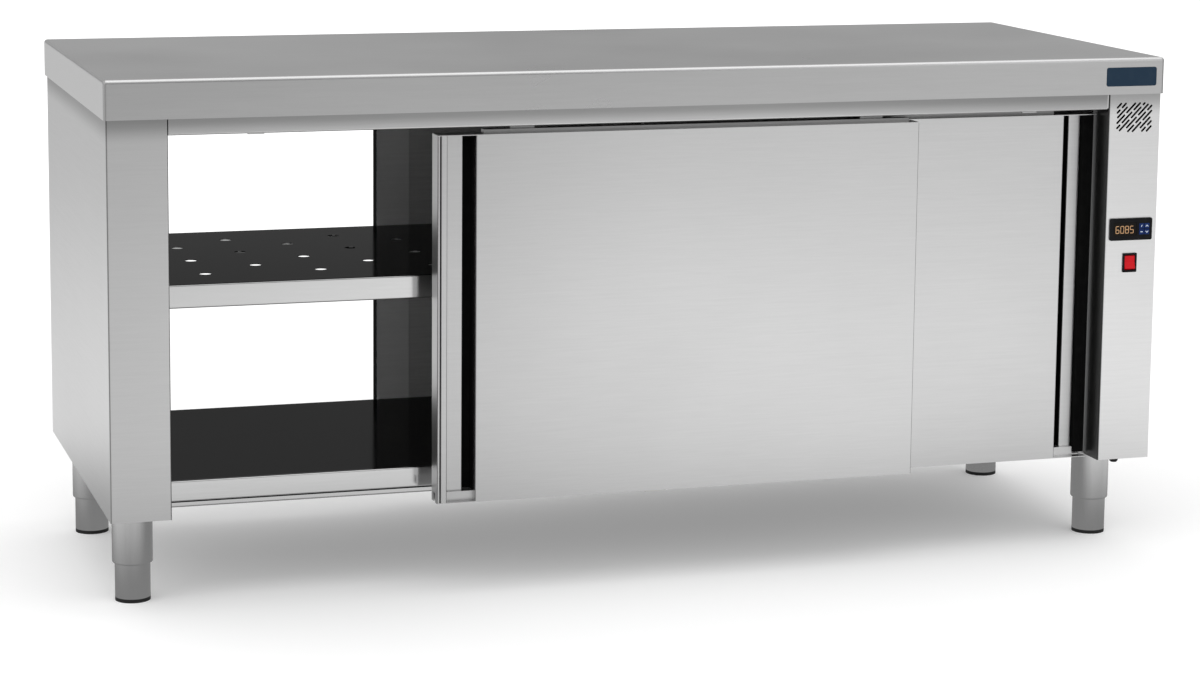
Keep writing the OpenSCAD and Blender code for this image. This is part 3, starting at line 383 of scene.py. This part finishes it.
def steel(name, stretch, dark, light, rough, rough_spread, bump, fold_shade=0.0, shade=(), metal=1.0):
    """Metal between two greys along the grain. Gloss follows the cloudiness, and upright folds are darker by
    fold_shade, a painted dark line for the reflection along a bend. Each shade is (axis, start, stop,
    factor), painted shade where the factor is below 1 and painted light above it: the colour goes smoothly
    from full to the factor while that coordinate, or its absolute value for an axis in bars, goes from start
    to stop. The shader is metal to the share metal, where 1 is all metal."""
    material = bpy.data.materials.new(name)
    material.use_nodes = True
    tree = material.node_tree
    shader = tree.nodes["Principled BSDF"]
    shader.inputs["Metallic"].default_value = metal
    place = add_node(tree, "ShaderNodeTexCoord", (-1500, 0))
    texture = add_node(tree, "ShaderNodeGroup", (-1250, 0), node_tree=grain)
    texture.inputs["Stretch"].default_value = stretch
    tree.links.new(place.outputs["Object"], texture.inputs["Vector"])
    tree.links.new(place.outputs["Normal"], texture.inputs["Normal"])
    fine_part = chain_math(tree, "MULTIPLY", texture.outputs["Grain"], GRAIN_SHARE, (-1000, 300))
    broad_part = chain_math(tree, "MULTIPLY", texture.outputs["Streaks"], STREAK_SHARE, (-1000, 450))
    mixed = chain_math(tree, "ADD", fine_part, broad_part, (-850, 350))
    tone = add_node(tree, "ShaderNodeMapRange", (-700, 300))
    tone.inputs["From Min"].default_value, tone.inputs["From Max"].default_value = TONE_RANGE
    tree.links.new(mixed, tone.inputs["Value"])
    tint = add_node(tree, "ShaderNodeMix", (-500, 300), data_type="RGBA")
    tint.inputs["A"].default_value = (*dark, 1)
    tint.inputs["B"].default_value = (*light, 1)
    tree.links.new(tone.outputs[0], tint.inputs["Factor"])
    factor = smooth_range(tree, texture.outputs["Fold Shade"], 0.0, 1.0, 1.0, 1.0 - fold_shade, (-850, 600))
    parts = add_node(tree, "ShaderNodeSeparateXYZ", (-1250, 700))
    tree.links.new(place.outputs["Object"], parts.inputs[0])
    for i, (axis, start, stop, end) in enumerate(shade):
        value = parts.outputs[axis.strip("|")]
        if axis.startswith("|"):
            value = chain_math(tree, "ABSOLUTE", value, None, (-1050, 750 + 150 * i))
        part = smooth_range(tree, value, start, stop, 1.0, end, (-850, 750 + 150 * i))
        factor = chain_math(tree, "MULTIPLY", factor, part, (-600, 650 + 150 * i))
    shaded = add_node(tree, "ShaderNodeMix", (-250, 300), data_type="RGBA", blend_type="MULTIPLY")
    shaded.inputs["Factor"].default_value = 1.0
    tree.links.new(tint.outputs["Result"], shaded.inputs["A"])
    tree.links.new(factor, shaded.inputs["B"])
    tree.links.new(shaded.outputs["Result"], shader.inputs["Base Color"])
    gloss = add_node(tree, "ShaderNodeMapRange", (-700, -100))
    gloss.inputs["From Min"].default_value, gloss.inputs["From Max"].default_value = CLOUD_RANGE
    gloss.inputs["To Min"].default_value = rough - rough_spread
    gloss.inputs["To Max"].default_value = rough + rough_spread
    tree.links.new(texture.outputs["Cloud"], gloss.inputs["Value"])
    tree.links.new(gloss.outputs[0], shader.inputs["Roughness"])
    relief = add_node(tree, "ShaderNodeBump", (-300, -300))
    relief.inputs["Strength"].default_value = bump
    relief.inputs["Distance"].default_value = SCRATCH_DEPTH
    tree.links.new(mixed, relief.inputs["Height"])
    tree.links.new(relief.outputs[0], shader.inputs["Normal"])
    return material


def greys(low, high):
    """Two neutral greys for the troughs and the ridges of the grain."""
    return (low, low, low), (high, high, high)


# The stainless sheets below share one steel. Their greys differ from sheet to sheet as painted light and
# shade: each was set to the tone its sheet shows under the light.
LENGTHWAYS = (36.0, 1300.0, 1300.0)
LEVEL = (36.0, 36.0, 1300.0)
UPRIGHT = (1300.0, 1300.0, 36.0)
BODY_TOP = 0.788
OPENING_EDGE = 0.800
# Painted shade: the ends and the control panel are painted darker over the last 4 cm below the worktop's lip.
shade_under_lip = ("Z", BODY_TOP - 0.040, BODY_TOP - 0.002, 0.54)
# Painted light and shade: the worktop's edges are painted darker than its top face, and its left end face is
# painted lighter.
steel_top = steel("steel_worktop", LENGTHWAYS, *greys(0.72, 0.76), 0.30, 0.03, 0.06, fold_shade=0.35,
                  shade=(("Z", 0.8490, 0.8460, 0.78), ("X", -0.8970, -0.8990, 1.50)))
# Painted shade: the front and rear faces of both ends are painted darker than their sides, besides the shade
# under the lip.
steel_side = steel("steel_left_end", LEVEL, *greys(0.79, 0.83), 0.32, 0.03, 0.06, fold_shade=0.6,
                   shade=(shade_under_lip, ("|Y|", 0.3430, 0.3446, 0.82)))
# Painted shade: the control panel's side by the opening is painted almost black, besides the shade under the
# lip.
steel_panel = steel("steel_control_panel", LEVEL, *greys(0.80, 0.84), 0.32, 0.03, 0.06, fold_shade=0.6,
                    shade=(shade_under_lip, ("X", OPENING_EDGE + 0.0030, OPENING_EDGE + 0.0006, 0.21)))
# Painted shade: the doors are painted darker towards the cupboard's left end.
steel_door = steel("steel_doors", LEVEL, *greys(0.68, 0.72), 0.32, 0.03, 0.06, fold_shade=0.5,
                   shade=(("X", 0.05, -0.45, 0.88),))
# Painted shade: the fascias are painted darker towards their top, under the worktop, and towards the right
# end.
steel_fascia = steel("steel_fascia", LENGTHWAYS, *greys(0.63, 0.67), 0.32, 0.03, 0.06,
                     shade=(("Z", BODY_TOP - 0.026, BODY_TOP - 0.004, 0.60), ("X", 0.10, 0.80, 0.80)))
steel_back = steel("steel_door_backs", LEVEL, *greys(0.66, 0.76), 0.50, 0.10, 0.06, metal=0.5)
steel_edge = steel("steel_edge_covers", LEVEL, *greys(0.80, 0.86), 0.70, 0.03, 0.06, metal=0.3)
# Painted shade: the pans are painted almost black inside the chamber, behind their bands at the openings.
steel_pan = steel("steel_pans", LENGTHWAYS, *greys(0.69, 0.73), 0.12, 0.03, 0.04,
                  shade=(("|Y|", 0.2655, 0.2600, 0.16),))
GRAZING_TINT = (0.4, 0.4, 0.4, 1)
steel_pan.node_tree.nodes["Principled BSDF"].inputs["Specular Tint"].default_value = GRAZING_TINT
steel_liner = steel("steel_liners", UPRIGHT, *greys(0.62, 0.66), 0.24, 0.04, 0.05)
steel_tube = steel("steel_tubes", UPRIGHT, *greys(0.68, 0.72), 0.20, 0.03, 0.05)
aluminium = steel("aluminium_rail", LENGTHWAYS, *greys(0.62, 0.68), 0.36, 0.03, 0.08)
hanger_steel = steel("steel_hangers", LENGTHWAYS, *greys(0.24, 0.30), 0.36, 0.03, 0.08)
element = steel("element_sheath", LENGTHWAYS, (0.22, 0.20, 0.19), (0.34, 0.31, 0.29), 0.42, 0.05, 0.05)
print("steel finishes", [m.name for m in bpy.data.materials if m.name.startswith("steel")])


def dress(material, *names):
    """Puts the material on the frame's pieces with these names."""
    for name in names:
        piece = nodes[name]
        if not piece.data.materials:
            piece.data.materials.append(material)
        for i in range(len(piece.data.materials)):
            piece.data.materials[i] = material


dress(steel_top, "worktop")
dress(steel_side, "left_side_panel", "right_side_panel")
dress(steel_panel, "control_panel")
dress(steel_fascia, "fascias")
dress(steel_door, *[d + "_door" for d in ("front_outer", "front_inner", "rear_outer", "rear_inner")])
dress(steel_back, *[d + "_back" for d in ("front_outer", "front_inner", "rear_outer", "rear_inner")])
dress(steel_pan, "floor_pan", "middle_shelf", "base_pan", "ceiling_pan", "shelf_supports", "worktop_channels")
dress(steel_liner, "left_liner", "right_liner")
dress(steel_tube, "leg_sockets", "screws", "temperature_probe")
dress(aluminium, "door_tracks", "fan_wheel")
dress(hanger_steel, *[n for n in nodes if n.endswith("_hanger")])
dress(element, "heating_element")

# %% [markdown]
# ## Plastics, rubber and paint
# Moulded parts have an even colour with the faint mottle of the mould's spark-eroded surface. One group
# gives that mottle and a little dust that gathers in it. Rubber is duller, with a coarser skin.

# %% The mould skin group
skin, sin, sout = group_with(
    "mould_skin",
    [("Vector", "NodeSocketVector"), ("Scale", "NodeSocketFloat")],
    [("Relief", "NodeSocketFloat"), ("Dust", "NodeSocketFloat")])
pores = add_node(skin, "ShaderNodeTexNoise", (-600, 200))
pores.inputs["Detail"].default_value = 2.0
skin.links.new(sin.outputs["Vector"], pores.inputs["Vector"])
skin.links.new(sin.outputs["Scale"], pores.inputs["Scale"])
skin.links.new(pores.outputs["Fac"], sout.inputs["Relief"])
dust = add_node(skin, "ShaderNodeTexNoise", (-600, -100))
dust.inputs["Scale"].default_value = 60.0
dust.inputs["Detail"].default_value = 5.0
skin.links.new(sin.outputs["Vector"], dust.inputs["Vector"])
skin.links.new(dust.outputs["Fac"], sout.inputs["Dust"])
print("group", skin.name)


# %% Plastic materials
DUST_RANGE = (0.45, 0.75)
DUST_ROUGHER = 0.18
SKIN_DEPTH = 0.0001


def moulded(name, colour, dusty, rough, bump=0.15, scale=900.0, shine=0.5):
    """Plastic, rubber or paint: its colour goes towards a dusty tone in patches, where its gloss falls."""
    material = bpy.data.materials.new(name)
    material.use_nodes = True
    tree = material.node_tree
    shader = tree.nodes["Principled BSDF"]
    shader.inputs["Specular IOR Level"].default_value = shine
    place = add_node(tree, "ShaderNodeTexCoord", (-1200, 0))
    texture = add_node(tree, "ShaderNodeGroup", (-950, 0), node_tree=skin)
    texture.inputs["Scale"].default_value = scale
    tree.links.new(place.outputs["Object"], texture.inputs["Vector"])
    patch = add_node(tree, "ShaderNodeMapRange", (-700, 150))
    patch.inputs["From Min"].default_value, patch.inputs["From Max"].default_value = DUST_RANGE
    tree.links.new(texture.outputs["Dust"], patch.inputs["Value"])
    tint = add_node(tree, "ShaderNodeMix", (-450, 150), data_type="RGBA")
    tint.inputs["A"].default_value = (*colour, 1)
    tint.inputs["B"].default_value = (*dusty, 1)
    tree.links.new(patch.outputs[0], tint.inputs["Factor"])
    tree.links.new(tint.outputs["Result"], shader.inputs["Base Color"])
    gloss = add_node(tree, "ShaderNodeMapRange", (-450, -100))
    gloss.inputs["To Min"].default_value = rough
    gloss.inputs["To Max"].default_value = min(1.0, rough + DUST_ROUGHER)
    tree.links.new(patch.outputs[0], gloss.inputs["Value"])
    tree.links.new(gloss.outputs[0], shader.inputs["Roughness"])
    relief = add_node(tree, "ShaderNodeBump", (-250, -300))
    relief.inputs["Strength"].default_value = bump
    relief.inputs["Distance"].default_value = SKIN_DEPTH
    tree.links.new(texture.outputs["Relief"], relief.inputs["Height"])
    tree.links.new(relief.outputs[0], shader.inputs["Normal"])
    return material


bezel_black = moulded("bezel_black", (0.004, 0.004, 0.005), (0.008, 0.008, 0.009), 0.30, shine=0.12)
# Near-black for the buffers and the groove linings. The buffers are rubber parts; their black, and all of the
# linings' black, also paints the deep shade at the inner doors' closing edges and in the pulls.
rubber_and_shade_black = moulded("buffer_rubber_and_shade", (0.003, 0.003, 0.003), (0.006, 0.006, 0.006), 0.85, 0.4, 500.0, shine=0.08)
gland_black = moulded("gland_black", (0.010, 0.010, 0.010), (0.018, 0.018, 0.018), 0.45, shine=0.3)
nylon = moulded("guide_nylon", (0.70, 0.70, 0.67), (0.62, 0.61, 0.57), 0.42)
roller_dark = moulded("roller_nylon", (0.05, 0.05, 0.052), (0.08, 0.08, 0.08), 0.40)
key_blue = moulded("key_blue", (0.006, 0.022, 0.105), (0.010, 0.030, 0.125), 0.50, shine=0.12)
motor_paint = moulded("motor_paint", (0.05, 0.05, 0.055), (0.09, 0.09, 0.09), 0.40)
terminal_ivory = moulded("terminal_ivory", (0.66, 0.62, 0.50), (0.60, 0.56, 0.45), 0.45)
badge_blue = moulded("badge_blue", (0.012, 0.030, 0.055), (0.015, 0.034, 0.060), 0.30, 0.05, shine=0.15)
display_glass = moulded("display_window", (0.006, 0.005, 0.004), (0.010, 0.008, 0.006), 0.12, 0.02,
                        shine=0.12)
rocker_red = moulded("rocker_red", (0.56, 0.004, 0.010), (0.60, 0.010, 0.016), 0.30, 0.05, shine=0.15)
dress(bezel_black, "controller_body", "switch_bezel")
dress(rubber_and_shade_black, "front_inner_buffer", "rear_inner_buffer")
dress(gland_black, "cable_gland")
dress(nylon, "bottom_guides")
dress(roller_dark, *[n for n in nodes if "_roller_" in n])
dress(key_blue, "key_exit", "key_up", "key_set", "key_down")
dress(motor_paint, "fan_motor")
dress(terminal_ivory, "terminal_block")
dress(badge_blue, "badge_plate")
dress(display_glass, "controller_display")
dress(rocker_red, "switch_rocker")
print("moulded finishes done")

# %% [markdown]
# ## The feet
# Each foot is one turned piece to the eye: polished tube with a black plastic end that is pressed in. The
# plastic reaches up to a fixed height, so one material can hold both, picked by the height above the floor.

# %% The foot material
PAD_TOP = 0.006
PAD_BLACK = (0.010, 0.010, 0.010, 1)
PAD_ROUGH = 0.5
foot_material = steel("steel_foot", UPRIGHT, *greys(0.68, 0.72), 0.20, 0.03, 0.05)
ft = foot_material.node_tree
foot_shader = ft.nodes["Principled BSDF"]
place = add_node(ft, "ShaderNodeTexCoord", (-1300, 500))
split = add_node(ft, "ShaderNodeSeparateXYZ", (-1100, 500))
ft.links.new(place.outputs["Object"], split.inputs[0])
is_steel = chain_math(ft, "GREATER_THAN", split.outputs["Z"], PAD_TOP, (-900, 500))
old_colour = foot_shader.inputs["Base Color"].links[0].from_socket
pad_mix = add_node(ft, "ShaderNodeMix", (-300, 400), data_type="RGBA")
pad_mix.inputs["A"].default_value = PAD_BLACK
ft.links.new(is_steel, pad_mix.inputs["Factor"])
ft.links.new(old_colour, pad_mix.inputs["B"])
ft.links.new(pad_mix.outputs["Result"], foot_shader.inputs["Base Color"])
ft.links.new(is_steel, foot_shader.inputs["Metallic"])
old_gloss = foot_shader.inputs["Roughness"].links[0].from_socket
pad_gloss = add_node(ft, "ShaderNodeMapRange", (-300, 150))
pad_gloss.inputs["To Min"].default_value = PAD_ROUGH
ft.links.new(is_steel, pad_gloss.inputs["Value"])
ft.links.new(old_gloss, pad_gloss.inputs["To Max"])
ft.links.new(pad_gloss.outputs[0], foot_shader.inputs["Roughness"])
dress(foot_material, "foot_front_left", "foot_front_right", "foot_rear_left", "foot_rear_right")
print("feet dressed")

# %% [markdown]
# ## Linings and covers of the doors
# The pull of each door is a deep groove, and a thin near-black lining in it paints the groove's deep shade.
# The closing edge of each inner door has a flat cover on its inner side. All of them are thin strips bent
# along a line and drawn upwards, so one function makes them: a path in plan is given a thickness, and the
# outline is carried from one height to another.

# %% A strip carried upwards
def outline_of(path, thickness):
    """The closed outline of a bent strip: the path moved half a thickness to each side along its mitred
    normals. At a corner the normal is the sum of its two neighbours divided by one plus their dot product."""
    path = np.asarray(path, float)
    run = np.diff(path, axis=0)
    run /= np.linalg.norm(run, axis=1)[:, None]
    side = np.stack([-run[:, 1], run[:, 0]], axis=1)
    before = np.vstack([side[:1], side])
    after = np.vstack([side, side[-1:]])
    mitre = (before + after) / (1.0 + np.sum(before * after, axis=1))[:, None]
    return np.vstack([path + mitre * thickness / 2, (path - mitre * thickness / 2)[::-1]])


def carried(name, outlines, start, stop, axis="Z"):
    """One mesh of closed prisms: each outline (n, 2) is carried from start to stop along Z, or along Y when
    the outline is in X and Z. The outline is turned first if its signed area would point faces inwards."""
    points, faces, base = [], [], 0
    for outline in outlines:
        outline = np.asarray(outline, float)
        a, b = outline, np.roll(outline, -1, axis=0)
        area = np.sum(a[:, 0] * b[:, 1] - b[:, 0] * a[:, 1]) / 2
        if (area < 0) != (axis == "Y"):
            outline = outline[::-1]
        n = len(outline)
        low, high = (np.full((n, 1), v) for v in (start, stop))
        if axis == "Z":
            points += [np.hstack([outline, low]), np.hstack([outline, high])]
        else:
            points += [np.hstack([outline[:, :1], low, outline[:, 1:]]),
                       np.hstack([outline[:, :1], high, outline[:, 1:]])]
        i = np.arange(n)
        j = (i + 1) % n
        faces += (np.stack([i, j, j + n, i + n], axis=1) + base).tolist()
        faces += [(i[::-1] + base).tolist(), (i + n + base).tolist()]
        base += 2 * n
    mesh = bpy.data.meshes.new(name)
    mesh.from_pydata(np.vstack(points).tolist(), [], faces)
    piece = bpy.data.objects.new(name, mesh)
    bpy.context.collection.objects.link(piece)
    return piece


def finish_piece(piece, material, body):
    """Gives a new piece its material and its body."""
    piece.data.materials.append(material)
    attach(piece, body)


# %% Linings of the grooves and covers of the closing edges
DOOR_THICK, SHEET, GAP = 0.0370, 0.0012, 0.0002
OUTER_GROOVE = (0.0460, 0.0630)
INNER_GROOVE = (0.0430, 0.0600)
STRIP_BACK, GROOVE_BACK = 0.0205, 0.0344
SHADE_LINING, SHADE_LINING_FRONT = 0.0006, 0.0100
COVER, COVER_OFF, COVER_INSET = 0.0004, 0.0003, 0.0005
COVER_FROM, COVER_TO = 0.0003, 0.0592
DOOR_Z = (0.1535, 0.7505)
GUIDE_TOP = 0.0165


def door_frame(door):
    """Where a door's closing edge and face are, and which way x and y run from them."""
    low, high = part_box(door + "_door")
    place = {"front_outer": (low[0], 1, low[1], 1), "front_inner": (high[0], -1, low[1], 1),
             "rear_outer": (high[0], -1, high[1], -1), "rear_inner": (low[0], 1, high[1], -1)}
    return place[door]


def on_door(door, outline):
    """Turns an outline given from the closing edge and the face into the shared frame."""
    x0, sx, y0, sy = door_frame(door)
    return np.asarray(outline) * (sx, sy) + (x0, y0)


for door in ("front_outer", "front_inner", "rear_outer", "rear_inner"):
    g0, g1 = OUTER_GROOVE if door.endswith("outer") else INNER_GROOVE
    half = SHADE_LINING / 2 + GAP
    path_in_plan = [(g0 + half, STRIP_BACK), (g0 + half, GROOVE_BACK - half), (g1 - half, GROOVE_BACK - half),
                    (g1 - half, SHADE_LINING_FRONT)]
    # Painted shade: a near-black lining stands for the deep shade in the pull groove.
    shade_lining = carried(door + "_groove_shade_lining", [on_door(door, outline_of(path_in_plan, SHADE_LINING))],
                     DOOR_Z[0] + GUIDE_TOP + GAP, DOOR_Z[1] - SHEET - GAP)
    finish_piece(shade_lining, rubber_and_shade_black, door)
    if door.endswith("inner"):
        plane = DOOR_THICK + COVER_OFF
        plan = outline_of([(COVER_FROM, plane), (COVER_TO, plane)], COVER)
        cover = carried(door + "_edge_cover", [on_door(door, plan)], DOOR_Z[0] + COVER_INSET,
                        DOOR_Z[1] - COVER_INSET)
        finish_piece(cover, steel_edge, door)

# %% [markdown]
# ## The controller's figures and key signs
# The display shows four seven-segment figures in dim amber. A figure is drawn by a number of short bars with
# pointed ends, so each bar is one six-sided outline, placed by a table of which bars a figure lights. The
# keys carry plain signs: a short stroke, an arrow up, a bar and an arrow down.

# %% The figures
FACE_Y = -0.3475
INK_FRONT, INK_BACK = 0.00006, 0.00001
FIGURE_W, FIGURE_H, BAR = 0.0058, 0.0118, 0.0011
FIGURE_STEP, FIGURE_X, FIGURE_Z = 0.0090, 0.8195, 0.5495
BARS = {"6": "acdefg", "0": "abcdef", "8": "abcdefg", "5": "acdfg"}
SHOWN = "6085"
FIGURE_GLOW = 0.25


def bar_outline(start, stop, width):
    """A bar from start to stop with pointed ends: two tips on its axis and four shoulders beside them."""
    start, stop = np.asarray(start, float), np.asarray(stop, float)
    along = (stop - start) / np.linalg.norm(stop - start)
    across = np.array([-along[1], along[0]]) * width / 2
    inset = along * width / 2
    return np.array([start, start + inset + across, stop - inset + across, stop, stop - inset - across,
                     start + inset - across])


corners = {"a": ((0, 2), (1, 2)), "b": ((1, 2), (1, 1)), "c": ((1, 1), (1, 0)), "d": ((0, 0), (1, 0)),
           "e": ((0, 1), (0, 0)), "f": ((0, 2), (0, 1)), "g": ((0, 1), (1, 1))}
cell = np.array([FIGURE_W, FIGURE_H / 2])
outlines = []
for i, figure in enumerate(SHOWN):
    origin = np.array([FIGURE_X + i * FIGURE_STEP, FIGURE_Z])
    outlines += [bar_outline(*(origin + cell * np.array(corners[b])), BAR) for b in BARS[figure]]
figures = carried("display_figures", outlines, FACE_Y - INK_FRONT, FACE_Y - INK_BACK, axis="Y")
amber = moulded("figure_amber", (0.42, 0.25, 0.13), (0.46, 0.29, 0.16), 0.6, 0.02, shine=0.1)
amber_shader = amber.node_tree.nodes["Principled BSDF"]
amber_shader.inputs["Emission Color"].default_value = (0.75, 0.42, 0.20, 1)
amber_shader.inputs["Emission Strength"].default_value = FIGURE_GLOW
finish_piece(figures, amber, "body")
print("figures", SHOWN, "from", len(outlines), "bars")

# %% The key signs
SIGN = 0.0012
signs = {"key_exit": [[(0.0008, 0.0018), (-0.0008, -0.0014)]],
         "key_up": [[(-0.0024, -0.0012), (0.0, 0.0014), (0.0024, -0.0012)]],
         "key_set": [[(-0.0022, 0.0), (0.0022, 0.0)]],
         "key_down": [[(-0.0024, 0.0012), (0.0, -0.0014), (0.0024, 0.0012)]]}
sign_white = moulded("sign_white", (0.62, 0.70, 0.80), (0.56, 0.64, 0.74), 0.5, 0.02, shine=0.2)
for key, strokes in signs.items():
    low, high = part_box(key)
    middle = np.array([(low[0] + high[0]) / 2, (low[2] + high[2]) / 2])
    shapes = [outline_of(np.array(stroke) + middle, SIGN) for stroke in strokes]
    sign = carried(key + "_sign", shapes, low[1] - INK_FRONT, low[1] - INK_BACK, axis="Y")
    finish_piece(sign, sign_white, key)
print("signs on", list(signs))

# %% Set the view transform
bpy.context.scene.view_settings.view_transform = "Standard"
